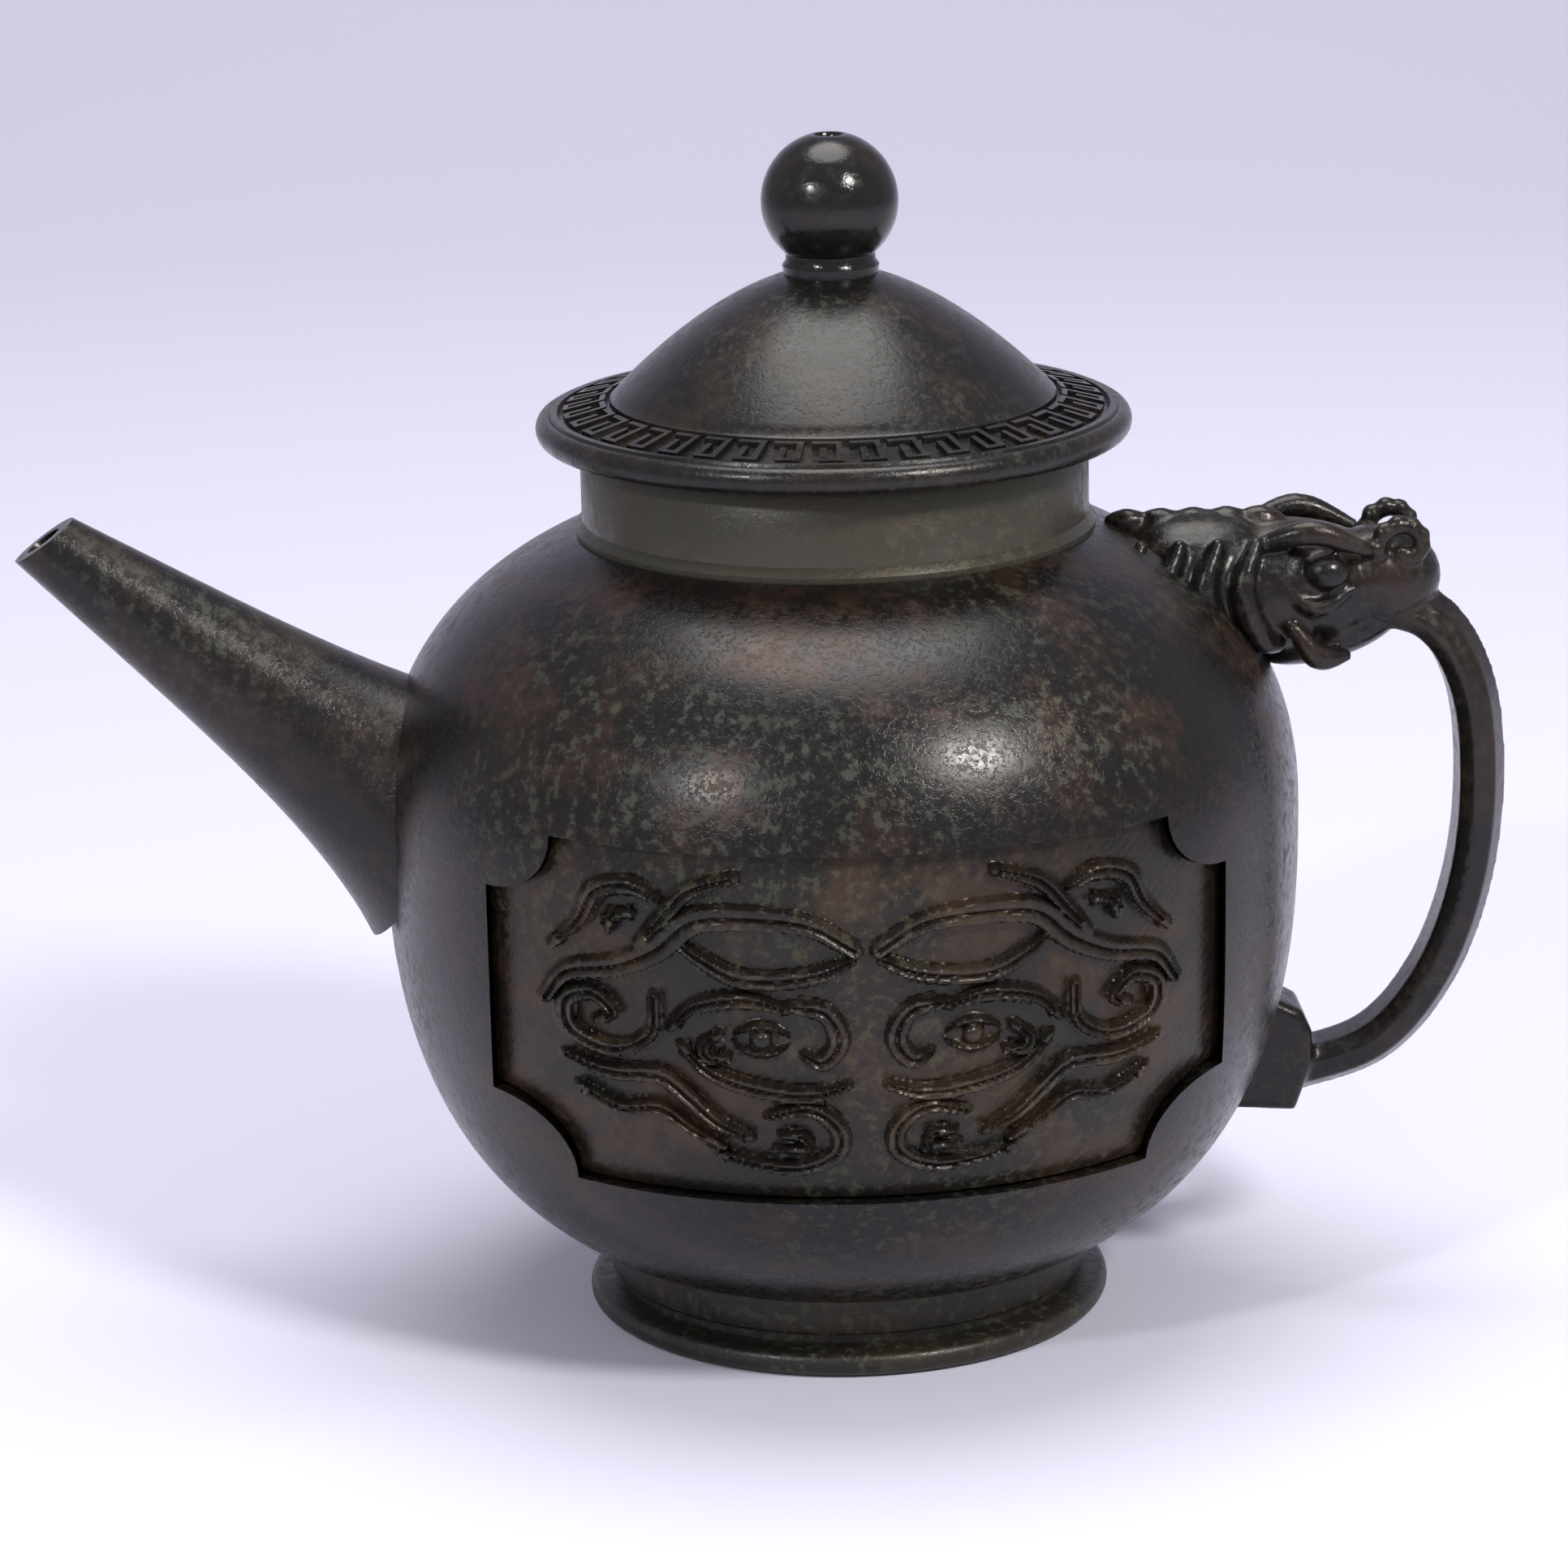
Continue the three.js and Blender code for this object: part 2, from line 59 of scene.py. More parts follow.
back = Vector((
    math.sin(camera_azimuth) * math.cos(camera_elevation),
    -math.cos(camera_azimuth) * math.cos(camera_elevation),
    math.sin(camera_elevation),
))
camera_data = bpy.data.cameras.new("catalogue_camera")
camera_data.lens = focal_length
camera_data.sensor_width = 36
camera_data.clip_start = 0.02
camera = bpy.data.objects.new("catalogue_camera", camera_data)
bpy.context.scene.collection.objects.link(camera)
camera.location = Vector((axis_x, 0, looked_at_height)) + back * camera_distance
beside = Vector((math.cos(camera_azimuth), math.sin(camera_azimuth), 0))
aim = Vector((axis_x, 0, aim_height)) - beside * aim_left
camera.rotation_mode = "QUATERNION"
towards = (aim - camera.location).to_track_quat("-Z", "Y")
camera.rotation_quaternion = towards @ Quaternion((0, 0, 1), -camera_roll)
bpy.context.scene.camera = camera
bpy.context.scene.view_settings.view_transform = "Standard"


# Studio: a pale sheet that curves up behind the bronze, a soft room all round, one broad
# lamp high on the right and a smaller one on the left.
def soft_lamp(name, place, size, power, colour):
    data = bpy.data.lights.new(name, "AREA")
    data.shape = "DISK"
    data.size = size
    data.energy = power
    data.color = colour
    lamp = bpy.data.objects.new(name, data)
    bpy.context.scene.collection.objects.link(lamp)
    lamp.location = place
    lamp.rotation_mode = "QUATERNION"
    lamp.rotation_quaternion = (aim - lamp.location).to_track_quat("-Z", "Y")
    return lamp


soft_lamp("right_lamp", Vector((0.34, -0.42, 0.5)), 0.12, 3.6, (1, 0.98, 0.95))
soft_lamp("left_lamp", Vector((-0.36, -0.46, 0.4)), 0.05, 1.3, (0.96, 0.97, 1))
soft_lamp("overhead", Vector((0, 0.1, 0.8)), 0.6, 5, (1, 1, 1))

room = bpy.data.worlds.new("pale_room")
bpy.context.scene.world = room
room.use_nodes = True
room_light = room.node_tree.nodes["Background"]
room_light.inputs["Color"].default_value = (0.80, 0.80, 0.88, 1)
room_light.inputs["Strength"].default_value = 0.55


def paper_sheet():
    mesh = bmesh.new()
    reach = 1.6
    rise_start = 0.5
    bend_radius = 0.5
    line = [Vector((-reach, -reach, 0)), Vector((-reach, rise_start, 0))]
    for step in range(1, 13):
        turn = math.pi / 2 * step / 12
        line.append(Vector((
            -reach,
            rise_start + bend_radius * math.sin(turn),
            bend_radius * (1 - math.cos(turn)),
        )))
    line.append(Vector((-reach, rise_start + bend_radius, 2)))
    verts = [mesh.verts.new(point) for point in line]
    edges = [mesh.edges.new(pair) for pair in zip(verts, verts[1:])]
    swept = bmesh.ops.extrude_edge_only(mesh, edges=edges)
    moved = [item for item in swept["geom"] if isinstance(item, bmesh.types.BMVert)]
    bmesh.ops.translate(mesh, verts=moved, vec=(2 * reach, 0, 0))
    for face in mesh.faces:
        face.smooth = True
    data = bpy.data.meshes.new("paper_sheet")
    mesh.to_mesh(data)
    mesh.free()
    sheet = bpy.data.objects.new("paper_sheet", data)
    bpy.context.scene.collection.objects.link(sheet)
    paper = bpy.data.materials.new("pale_paper")
    paper.use_nodes = True
    shader = paper.node_tree.nodes["Principled BSDF"]
    shader.inputs["Base Color"].default_value = (0.63, 0.62, 0.72, 1)
    shader.inputs["Roughness"].default_value = 0.9
    shader.inputs["Specular IOR Level"].default_value = 0.1
    data.materials.append(paper)


paper_sheet()


# Body: a hollow casting, round in plan, with a flat base, full sides and a turned-in shoulder.
# Its walls carry two sunk cartouches and the hole that feeds the spout. The bronze is dark,
# with brown patches and green specks.
body_low, body_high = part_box("vessel_body")
body_radius = 0.0374
belly_height = 0.042
shoulder_radius = 0.0212
base_radius = 0.0216
wall = 0.0042
mouth_radius = 0.0176
lower_power = 2.6
upper_power = 2.33
seam = 0.0003
panel_sink = 0.0012
panel_thickness = 0.001
panel_low, panel_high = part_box("relief_panel_front")
panel_half = (panel_high.x - panel_low.x) / 2
top_indent = 0.005
bottom_indent = 0.0065
corner_steps = 12


def reach_of(height, end_radius, power):
    return height / (1 - (end_radius / body_radius) ** power) ** (1 / power)


def side_radius(height):
    """Radius of the body's outer skin at a height, a number or an array."""
    height = np.asarray(height, float)
    lower = reach_of(belly_height - body_low.z, base_radius, lower_power)
    upper = reach_of(body_high.z - belly_height, shoulder_radius, upper_power)
    below = height < belly_height
    power = np.where(below, lower_power, upper_power)
    share = np.clip(np.abs(height - belly_height) / np.where(below, lower, upper), 0, 1)
    return body_radius * (1 - share ** power) ** (1 / power)


def shaded(mesh, sharp_angle=math.radians(38)):
    """Smooth faces, with an edge kept crisp where the surface turns sharply."""
    for face in mesh.faces:
        face.smooth = True
    for edge in mesh.edges:
        edge.smooth = len(edge.link_faces) != 2 or edge.calc_face_angle() < sharp_angle


def piece_from(mesh, name):
    bmesh.ops.recalc_face_normals(mesh, faces=mesh.faces)
    shaded(mesh)
    data = bpy.data.meshes.new(name)
    mesh.to_mesh(data)
    mesh.free()
    piece = bpy.data.objects.new(name, data)
    bpy.context.scene.collection.objects.link(piece)
    return piece


def turned(profile, steps=192, closed=True):
    """A profile of radius and height, turned about the upright axis of the vessel."""
    mesh = bmesh.new()
    verts = [mesh.verts.new((radius, 0, height)) for radius, height in profile]
    pairs = list(zip(verts, verts[1:]))
    if closed:
        pairs.append((verts[-1], verts[0]))
    edges = [mesh.edges.new(pair) for pair in pairs]
    bmesh.ops.spin(
        mesh, geom=verts + edges, cent=(0, 0, 0), axis=(0, 0, 1),
        angle=2 * math.pi, steps=steps, use_merge=True,
    )
    bmesh.ops.remove_doubles(mesh, verts=mesh.verts, dist=1e-7)
    bmesh.ops.translate(mesh, verts=mesh.verts, vec=(axis_x, 0, 0))
    return mesh


def side_line(low, high, steps, sink):
    middle, half = (low + high) / 2, (high - low) / 2
    heights = [middle - half * math.cos(math.pi * i / steps) for i in range(steps + 1)]
    return [(float(side_radius(z)) - sink, z) for z in heights]


def cartouche(margin):
    """Outline of the panel, with hollow quarter-round corners, as x from the axis and height."""
    half = panel_half + margin
    top, bottom = panel_high.z + margin, panel_low.z - margin
    points = []
    corners = [
        (half, bottom, bottom_indent, math.pi, math.pi / 2),
        (half, top, top_indent, -math.pi / 2, -math.pi),
        (-half, top, top_indent, 0, -math.pi / 2),
        (-half, bottom, bottom_indent, math.pi / 2, 0),
    ]
    for x, z, radius, start, end in corners:
        for i in range(corner_steps + 1):
            turn = start + (end - start) * i / corner_steps
            points.append((x + radius * math.cos(turn), z + radius * math.sin(turn)))
    return points


def cartouche_prism(margin):
    """The outline as a solid, from the vessel's middle out past its front."""
    mesh = bmesh.new()
    verts = [mesh.verts.new((axis_x + x, -0.002, z)) for x, z in cartouche(margin)]
    face = mesh.faces.new(verts)
    pushed = bmesh.ops.extrude_face_region(mesh, geom=[face])
    moved = [item for item in pushed["geom"] if isinstance(item, bmesh.types.BMVert)]
    bmesh.ops.translate(mesh, verts=moved, vec=(0, -0.045, 0))
    return piece_from(mesh, "cartouche_tool")


def cut(piece, tool, operation="DIFFERENCE"):
    """Applies one exact boolean to a piece and removes the tool."""
    modifier = piece.modifiers.new("cut", "BOOLEAN")
    modifier.operation = operation
    modifier.solver = "EXACT"
    modifier.object = tool
    settle(piece)
    bpy.data.objects.remove(tool)


def settle(piece):
    """Turns a piece's modifiers into its mesh, with its shading marked again."""
    evaluated = piece.evaluated_get(bpy.context.evaluated_depsgraph_get())
    data = bpy.data.meshes.new_from_object(evaluated)
    piece.modifiers.clear()
    piece.data = data
    mesh = bmesh.new()
    mesh.from_mesh(data)
    shaded(mesh)
    mesh.to_mesh(data)
    mesh.free()


def half_turned(piece, name):
    """A copy of a piece on the far side of the vessel."""
    copy = piece.copy()
    copy.name = name
    copy.data = piece.data.copy()
    bpy.context.scene.collection.objects.link(copy)
    about = Matrix.Translation((axis_x, 0, 0))
    copy.data.transform(about @ Matrix.Rotation(math.pi, 4, "Z") @ about.inverted())
    return copy


def patina_group():
    """Brown patches, green specks and casting pits over a base colour."""
    group = bpy.data.node_groups.new("cast_patina", "ShaderNodeTree")
    sockets = group.interface
    sockets.new_socket("Place", in_out="INPUT", socket_type="NodeSocketVector")
    for name in ("Base", "Brown", "Green"):
        sockets.new_socket(name, in_out="INPUT", socket_type="NodeSocketColor")
    for name in ("Brown Share", "Green Share", "Gloss"):
        sockets.new_socket(name, in_out="INPUT", socket_type="NodeSocketFloat")
    sockets.new_socket("Colour", in_out="OUTPUT", socket_type="NodeSocketColor")
    sockets.new_socket("Roughness", in_out="OUTPUT", socket_type="NodeSocketFloat")
    sockets.new_socket("Height", in_out="OUTPUT", socket_type="NodeSocketFloat")
    tree = group.nodes
    wire = group.links.new
    given = tree.new("NodeGroupInput")
    out = tree.new("NodeGroupOutput")

    def noise(scale, detail, rough):
        node = tree.new("ShaderNodeTexNoise")
        node.inputs["Scale"].default_value = scale
        node.inputs["Detail"].default_value = detail
        node.inputs["Roughness"].default_value = rough
        wire(given.outputs["Place"], node.inputs["Vector"])
        return node.outputs["Fac"]

    def arithmetic(operation, first, second):
        node = tree.new("ShaderNodeMath")
        node.operation = operation
        for socket, value in zip(node.inputs, (first, second)):
            if isinstance(value, (int, float)):
                socket.default_value = value
            else:
                wire(value, socket)
        return node.outputs[0]

    def between(value, low, high, start=0.0, end=1.0):
        node = tree.new("ShaderNodeMapRange")
        node.interpolation_type = "SMOOTHSTEP"
        node.inputs["From Min"].default_value = low
        node.inputs["From Max"].default_value = high
        node.inputs["To Min"].default_value = start
        node.inputs["To Max"].default_value = end
        wire(value, node.inputs["Value"])
        return node.outputs["Result"]

    def mixed(share, first, second):
        node = tree.new("ShaderNodeMix")
        node.data_type = "RGBA"
        wire(share, node.inputs["Factor"])
        wire(first, node.inputs["A"])
        wire(second, node.inputs["B"])
        return node.outputs["Result"]

    clouds = noise(130, 5, 0.6)
    drift = noise(40, 3, 0.5)
    grain = noise(1000, 6, 0.65)
    pits = noise(2400, 4, 0.6)
    coarse = arithmetic("MULTIPLY", clouds, 0.7)
    patch = arithmetic("ADD", coarse, arithmetic("MULTIPLY", grain, 0.3))
    brown = arithmetic("MULTIPLY", between(patch, 0.46, 0.62), given.outputs["Brown Share"])
    speck = arithmetic("MULTIPLY", between(grain, 0.52, 0.62), between(drift, 0.42, 0.6))
    green = arithmetic("MULTIPLY", speck, given.outputs["Green Share"])
    colour = mixed(brown, given.outputs["Base"], given.outputs["Brown"])
    colour = mixed(green, colour, given.outputs["Green"])
    rough = arithmetic("ADD", given.outputs["Gloss"], arithmetic("MULTIPLY", brown, 0.1))
    rough = arithmetic("ADD", rough, arithmetic("MULTIPLY", green, 0.3))
    uneven = arithmetic("SUBTRACT", grain, 0.5)
    rough = arithmetic("ADD", rough, arithmetic("MULTIPLY", uneven, 0.35))
    sunk = between(pits, 0.34, 0.5)
    pitted = arithmetic("MULTIPLY", sunk, 0.6)
    height = arithmetic("ADD", pitted, arithmetic("MULTIPLY", grain, 0.8))
    wire(colour, out.inputs["Colour"])
    wire(rough, out.inputs["Roughness"])
    wire(height, out.inputs["Height"])
    return group


cast_patina = patina_group()


def bronze(name, base, brown, green, brown_share, green_share, gloss, metal, pitting):
    material = bpy.data.materials.new(name)
    material.use_nodes = True
    nodes, wire = material.node_tree.nodes, material.node_tree.links.new
    shader = nodes["Principled BSDF"]
    place = nodes.new("ShaderNodeTexCoord")
    patina = nodes.new("ShaderNodeGroup")
    patina.node_tree = cast_patina
    for socket, colour in (("Base", base), ("Brown", brown), ("Green", green)):
        patina.inputs[socket].default_value = (*colour, 1)
    patina.inputs["Brown Share"].default_value = brown_share
    patina.inputs["Green Share"].default_value = green_share
    patina.inputs["Gloss"].default_value = gloss
    bump = nodes.new("ShaderNodeBump")
    bump.inputs["Strength"].default_value = pitting
    bump.inputs["Distance"].default_value = 0.00007
    wire(place.outputs["Object"], patina.inputs["Place"])
    wire(patina.outputs["Colour"], shader.inputs["Base Color"])
    wire(patina.outputs["Roughness"], shader.inputs["Roughness"])
    wire(patina.outputs["Height"], bump.inputs["Height"])
    wire(bump.outputs["Normal"], shader.inputs["Normal"])
    shader.inputs["Metallic"].default_value = metal
    return material


def dressed(piece, material, node, body):
    """Gives a finished piece its bronze, its place in the object and the node it stands for."""
    piece.data.materials.clear()
    piece.data.materials.append(material)
    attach(piece, body)
    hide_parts(node)


spout_reach = 0.0655
spout_root_depth = 0.004
spout_root_height = 0.043
spout_tip_height = 0.0673
spout_root_bore = 0.0052
spout_tip_bore = 0.0015
feed_depth = 0.008


def spout_axis():
    """Root centre and direction of the spout, and its length to the tip."""
    root = Vector((axis_x - body_radius + spout_root_depth, 0, spout_root_height))
    tip = Vector((axis_x - spout_reach, 0, spout_tip_height))
    return root, (tip - root).normalized(), (tip - root).length


def about_spout(profile, steps=96, closed=True):
    """A profile turned upright and then laid along the spout's sloping axis."""
    mesh = turned(profile, steps, closed)
    root, along, _ = spout_axis()
    bmesh.ops.translate(mesh, verts=mesh.verts, vec=(-axis_x, 0, 0))
    lay = Matrix.Translation(root) @ along.to_track_quat("Z", "Y").to_matrix().to_4x4()
    bmesh.ops.transform(mesh, matrix=lay, verts=mesh.verts)
    return mesh


def vessel():
    floor, roof = body_low.z + wall, body_high.z - wall
    inside = side_line(floor, roof, 40, wall)[::-1]
    mesh = turned([
        (0, body_low.z), *side_line(body_low.z, body_high.z, 96, 0),
        (mouth_radius, body_high.z), (mouth_radius, roof), *inside, (0, floor),
    ], closed=False)
    body = piece_from(mesh, "body_casting")
    depth = panel_sink + panel_thickness + seam
    recess = cartouche_prism(seam)
    sunk = side_line(body_low.z, body_high.z, 48, depth)
    core = turned([(0, body_low.z), *sunk, (0, body_high.z)], closed=False)
    cut(recess, piece_from(core, "core_tool"))
    cut(body, half_turned(recess, "rear_recess_tool"))
    cut(body, recess)
    _, _, length = spout_axis()
    feed = about_spout([
        (0, -feed_depth), (spout_root_bore, -feed_depth), (spout_root_bore, 0),
        (spout_tip_bore, length), (0, length),
    ], closed=False)
    cut(body, piece_from(feed, "feed_tool"))
    return body


body_bronze = bronze(
    "body_bronze", (0.012, 0.010, 0.009), (0.052, 0.026, 0.017), (0.05, 0.066, 0.04),
    0.6, 0.5, 0.26, 0.45, 0.3,
)
dressed(vessel(), body_bronze, "vessel_body", "vessel")

# Foot: a ring turned with a rounded standing flange, a groove above it and a plain band that
# meets the body. It is worn grey-green, and stands on a narrow flat rim.
_, foot_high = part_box("foot_ring")
flange_height = 0.0021
foot_radius = 0.0216
foot_bore = 0.0166
band_radius = 0.0199
groove_radius = 0.0191
flange_round = [
    (foot_radius - 0.0006 + 0.0006 * math.sin(turn), 0.0011 - 0.0009 * math.cos(turn))
    for turn in (math.pi * i / 8 for i in range(9))
]
foot = piece_from(turned([
    (foot_bore, 0), (foot_radius - 0.0011, 0), *flange_round,
    (groove_radius, flange_height + 0.0001), (groove_radius, flange_height + 0.0008),
    (band_radius - 0.0002, flange_height + 0.001), (band_radius, flange_height + 0.0013),
    (band_radius, foot_high.z + seam), (foot_bore, foot_high.z + seam),
]), "foot_turning")
foot_bronze = bronze(
    "foot_bronze", (0.022, 0.021, 0.017), (0.05, 0.032, 0.02), (0.075, 0.085, 0.05),
    0.5, 0.6, 0.36, 0.4, 0.35,
)
dressed(foot, foot_bronze, "foot_ring", "vessel")

# Neck: an upright collar soldered round the mouth, brushed to a dull olive grey. A low bead
# runs round it at the seam where it meets the shoulder.
neck_radius = 0.0205
neck = piece_from(turned([
    (mouth_radius, neck_low.z - seam), (neck_radius + 0.0005, neck_low.z - seam),
    (neck_radius + 0.0006, neck_low.z + 0.0002), (neck_radius + 0.0003, neck_low.z + 0.0006),
    (neck_radius, neck_low.z + 0.0009), (neck_radius, neck_high.z - 0.0004),
    (neck_radius - 0.0003, neck_high.z), (mouth_radius, neck_high.z),
]), "neck_collar_turning")
neck_bronze = bronze(
    "neck_bronze", (0.062, 0.058, 0.042), (0.06, 0.046, 0.03), (0.1, 0.105, 0.062),
    0.7, 0.5, 0.34, 0.5, 0.25,
)
dressed(neck, neck_bronze, "neck_collar", "vessel")

# Spout: a straight tapering tube, flared where it is soldered to the body, with its mouth cut
# aslant so that drops leave the lower lip.
spout_root_radius = 0.008
spout_tip_radius = 0.0025
spout_flare = 0.0024
mouth_tilt = math.radians(55)


def spout_profile():
    _, _, length = spout_axis()
    outside = []
    for step in range(41):
        share = step / 40
        cone = spout_root_radius + (spout_tip_radius - spout_root_radius) * share
        outside.append((cone + spout_flare * (1 - share) ** 5, length * share))
    end = length + 0.002
    return [
        (spout_root_bore, -0.002), (outside[0][0] + 0.001, -0.002), *outside,
        (spout_tip_radius, end), (spout_tip_bore, end), (spout_tip_bore, length - 0.002),
        (spout_root_bore, 0),
    ]


def spout_tube():
    mesh = about_spout(spout_profile())
    lip = Vector((axis_x - spout_reach + spout_tip_radius, 0, spout_tip_height - 0.0006))
    across = Vector((-math.cos(mouth_tilt), 0, math.sin(mouth_tilt)))
    cutting = bmesh.ops.bisect_plane(
        mesh, geom=mesh.verts[:] + mesh.edges[:] + mesh.faces[:], dist=1e-7,
        plane_co=lip, plane_no=across, clear_outer=True,
    )
    rims = [item for item in cutting["geom_cut"] if isinstance(item, bmesh.types.BMEdge)]
    bmesh.ops.bridge_loops(mesh, edges=rims)
    return piece_from(mesh, "spout_tube")


spout_bronze = bronze(
    "spout_bronze", (0.014, 0.012, 0.011), (0.042, 0.025, 0.018), (0.05, 0.062, 0.04),
    0.5, 0.35, 0.26, 0.45, 0.28,
)
dressed(spout_tube(), spout_bronze, "spout", "vessel")

# Handle: a beast's head grips the shoulder, and its trunk loops round and down to a hook on the
# lower body. It is cast in one, with a keel along the trunk, and rubbed smooth by the hand.
_, handle_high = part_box("handle")
trunk_thickness = 0.004
trunk_width = 0.0054
hook_height = 0.0176
head_top = handle_high.z
snout_x = axis_x + 0.0471
head_half = 0.0065
hook_half = 0.0034


def trunk_line():
    """Points along the trunk's middle, from the brow to the hook."""
    far = handle_high.x - trunk_thickness / 2 - 0.0004
    middle = belly_height
    points = [
        Vector((far - 0.0115, 0, head_top - 0.0076)), Vector((far - 0.0046, 0, head_top - 0.0094)),
        Vector((far - 0.001, 0, head_top - 0.015)), Vector((far, 0, middle + 0.001)),
        Vector((far - 0.0009, 0, middle - 0.008)), Vector((far - 0.0038, 0, middle - 0.016)),
        Vector((far - 0.0088, 0, hook_height + 0.0026)),
        Vector((axis_x + float(side_radius(hook_height)) + 0.0032, 0, hook_height)),
    ]
    return smooth_line(points, 12)


def smooth_line(points, steps):
    """A smooth line through points, each span in even steps."""
    padded = [2 * points[0] - points[1], *points, 2 * points[-1] - points[-2]]
    line = []
    for a, b, c, d in zip(padded, padded[1:], padded[2:], padded[3:]):
        for i in range(steps):
            t = i / steps
            line.append(0.5 * (2 * b + (c - a) * t + (2 * a - 5 * b + 4 * c - d) * t ** 2
                               + (3 * b - a - 3 * c + d) * t ** 3))
    line.append(points[-1])
    return line


def swept(mesh, line, section):
    """Carries a section of across and out offsets along a line that lies in the handle's plane."""
    rings = []
    for i, point in enumerate(line):
        along = (line[min(i + 1, len(line) - 1)] - line[max(i - 1, 0)]).normalized()
        outward = Vector((along.z, 0, -along.x)) * -1
        share = i / (len(line) - 1)
        ring = [point + outward * out + Vector((0, across, 0)) for across, out in section(share)]
        rings.append([mesh.verts.new(place) for place in ring])
    for first, second in zip(rings, rings[1:]):
        count = len(first)
        for i in range(count):
            mesh.faces.new((first[i], first[(i + 1) % count], second[(i + 1) % count], second[i]))
    mesh.faces.new(rings[0][::-1])
    mesh.faces.new(rings[-1])


def trunk_section(share):
    half, side = trunk_thickness / 2, trunk_width / 2 * (1.12 - 0.12 * share)
    return [
        (-side * 0.7, -half), (-side, -half * 0.4), (-side * 0.8, half * 0.4), (0, half),
        (side * 0.8, half * 0.4), (side, -half * 0.4), (side * 0.7, -half),
    ]


def blob(mesh, centre, radii, turn=0.0):
    """An ellipsoid, turned in the handle's plane."""
    made = bmesh.ops.create_uvsphere(mesh, u_segments=28, v_segments=16, radius=1)
    turned_to = Matrix.Translation(centre) @ Matrix.Rotation(turn, 4, "Y")
    shape = turned_to @ Matrix.Diagonal((*radii, 1))
    bmesh.ops.transform(mesh, matrix=shape, verts=made["verts"])


def roll_bead(mesh, points, radius):
    """A round bead along a few points, thinner at its ends, for scrolls, brows and mane locks."""
    line = smooth_line([Vector(point) for point in points], 8)
    for i, point in enumerate(line):
        share = i / (len(line) - 1)
        size = radius * (0.55 + 0.45 * math.sin(math.pi * share))
        made = bmesh.ops.create_icosphere(mesh, subdivisions=2, radius=size)
        bmesh.ops.translate(mesh, verts=made["verts"], vec=point)


def nostril_scroll(mesh, y):
    """A bead that winds inwards at the side of the snout."""
    for turn in range(10):
        angle = turn * 0.62
        size = 0.0024 - turn * 0.00021
        place = (
            snout_x - 0.0012 - size * math.cos(angle),
            y,
            head_top - 0.0032 + size * math.sin(angle),
        )
        radius = 0.00095 - turn * 0.00003
        made = bmesh.ops.create_icosphere(mesh, subdivisions=2, radius=radius)
        bmesh.ops.translate(mesh, verts=made["verts"], vec=place)


def head_form():
    """The skull from four ellipsoids, with brows, eyes, nostrils, mane locks and a crest."""
    mesh = bmesh.new()
    swept(mesh, trunk_line(), trunk_section)
    top, snout = head_top, snout_x
    blob(mesh, (snout - 0.011, 0, top - 0.0068), (0.0095, 0.0056, 0.0056))
    blob(mesh, (snout - 0.0175, 0, top - 0.0066), (0.0088, 0.006, 0.0062))
    blob(mesh, (snout - 0.003, 0, top - 0.0062), (0.0052, 0.0043, 0.0042))
    blob(mesh, (snout - 0.0072, 0, top - 0.0108), (0.0062, 0.0036, 0.0022), -0.25)
    for side in (-1, 1):
        y = side * head_half
        roll_bead(mesh, [
            (snout - 0.0135, y * 0.62, top - 0.0026), (snout - 0.009, y * 0.78, top - 0.0014),
            (snout - 0.0045, y * 0.72, top - 0.003),
        ], 0.0011)
        roll_bead(mesh, [
            (snout - 0.011, y * 0.8, top - 0.0066), (snout - 0.0085, y * 0.86, top - 0.0075),
            (snout - 0.0055, y * 0.78, top - 0.006),
        ], 0.0007)
        blob(mesh, (snout - 0.0078, y * 0.74, top - 0.0047), (0.0019, 0.0015, 0.0015))
        nostril_scroll(mesh, y * 0.52)
        for lock in range(4):
            x = snout - 0.0135 - lock * 0.0031
            roll_bead(mesh, [
                (x, y * 0.75, top - 0.0022), (x - 0.0012, y * 0.92, top - 0.0058),
                (x + 0.0002, y * 0.86, top - 0.0098), (x + 0.0018, y * 0.7, top - 0.0108),
            ], 0.0011)
        roll_bead(mesh, [
            (snout - 0.0105, y * 0.84, top - 0.0092), (snout - 0.0086, y * 0.8, top - 0.0116),
            (snout - 0.0062, y * 0.66, top - 0.0118),
        ], 0.0011)
    for crest in range(5):
        x = snout - 0.0112 - crest * 0.0027
        roll_bead(mesh, [(x, 0, top - 0.0012), (x - 0.0028, 0, top - 0.0011)], 0.0011)
    return mesh


def hook_form(mesh):
    """The bevelled hook that the trunk's end runs into, with its rounded top."""
    inner = axis_x + float(side_radius(hook_height)) - 0.0015
    outer = inner + 0.0073
    outline = [
        (inner, hook_height - 0.002), (outer - 0.0014, hook_height - 0.0024),
        (outer, hook_height + 0.0016), (outer, hook_height + 0.0044),
        (outer - 0.0008, hook_height + 0.0062), (outer - 0.0036, hook_height + 0.0076),
        (inner, hook_height + 0.0076),
    ]
    verts = [mesh.verts.new((x, hook_half, z)) for x, z in outline]
    face = mesh.faces.new(verts)
    pushed = bmesh.ops.extrude_face_region(mesh, geom=[face])
    moved = [item for item in pushed["geom"] if isinstance(item, bmesh.types.BMVert)]
    bmesh.ops.translate(mesh, verts=moved, vec=(0, -2 * hook_half, 0))
    faces = [item for item in pushed["geom"] if isinstance(item, bmesh.types.BMFace)]
    edges = {edge for item in faces for edge in item.edges}
    edges |= set(face.edges)
    bmesh.ops.bevel(mesh, geom=list(edges), offset=0.0007, segments=2, profile=0.5,
                    affect="EDGES", material=-1)


